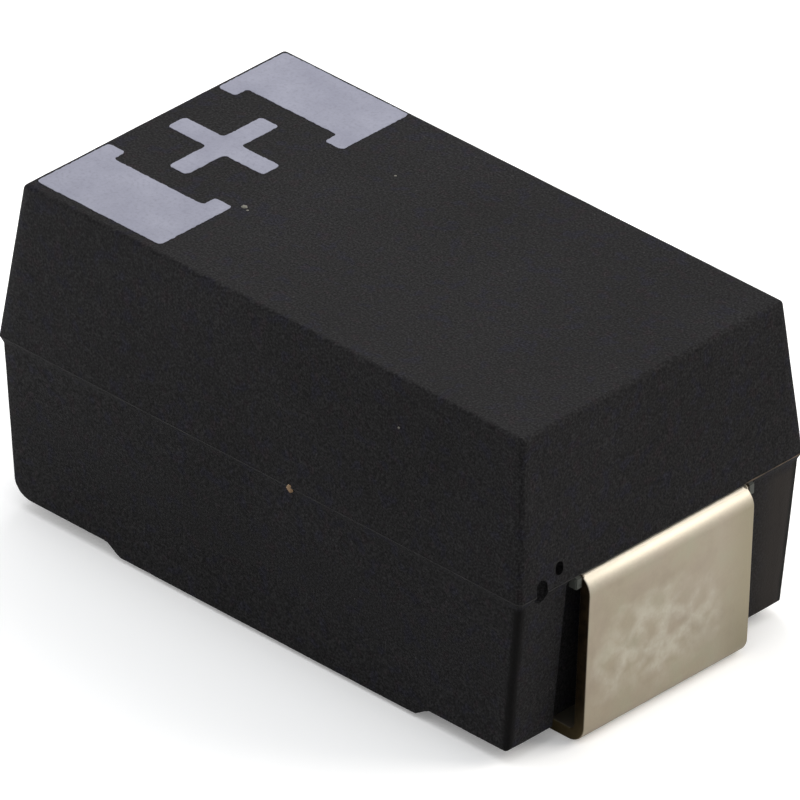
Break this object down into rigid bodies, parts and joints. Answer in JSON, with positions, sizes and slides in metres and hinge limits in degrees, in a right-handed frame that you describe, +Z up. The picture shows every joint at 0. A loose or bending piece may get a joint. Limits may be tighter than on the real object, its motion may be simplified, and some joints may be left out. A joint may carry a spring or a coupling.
{
  "type": "tantalum capacitor",
  "caption": "Surface-mount tantalum capacitor: a black moulded case with folded strip terminals under both ends and a bracketed plus sign on top.",
  "frame": {"origin": "on the solder plane, under the middle of the part", "axes": "+X along the length towards the cathode end, +Y across the width, +Z up from the solder plane"},
  "size_m": [0.0076, 0.0042, 0.0038],
  "materials": {
    "case_epoxy": "fine-grained black moulded epoxy",
    "mark": "pale grey matt marking, speckled",
    "terminal_tin": "satin tin plate with paler patches",
    "tantalum_wire": "drawn wire",
    "washer": "white fluoropolymer",
    "tantalum_pellet": "dark sintered metal powder",
    "electrolyte": "dark matt coat",
    "carbon": "matt carbon paint",
    "silver_paint": "matt silver paint",
    "silver_adhesive": "silver-filled adhesive"
  },
  "bodies": {
    "root": {"epoxy_case": "case_epoxy", "polarity_mark": "mark", "anode_terminal": "terminal_tin", "cathode_terminal": "terminal_tin", "anode_wire": "tantalum_wire", "insulating_washer": "washer", "tantalum_pellet": "tantalum_pellet", "electrolyte_coat": "electrolyte", "carbon_coat": "carbon", "silver_coat": "silver_paint", "silver_adhesive": "silver_adhesive"}
  },
  "joints": []
}
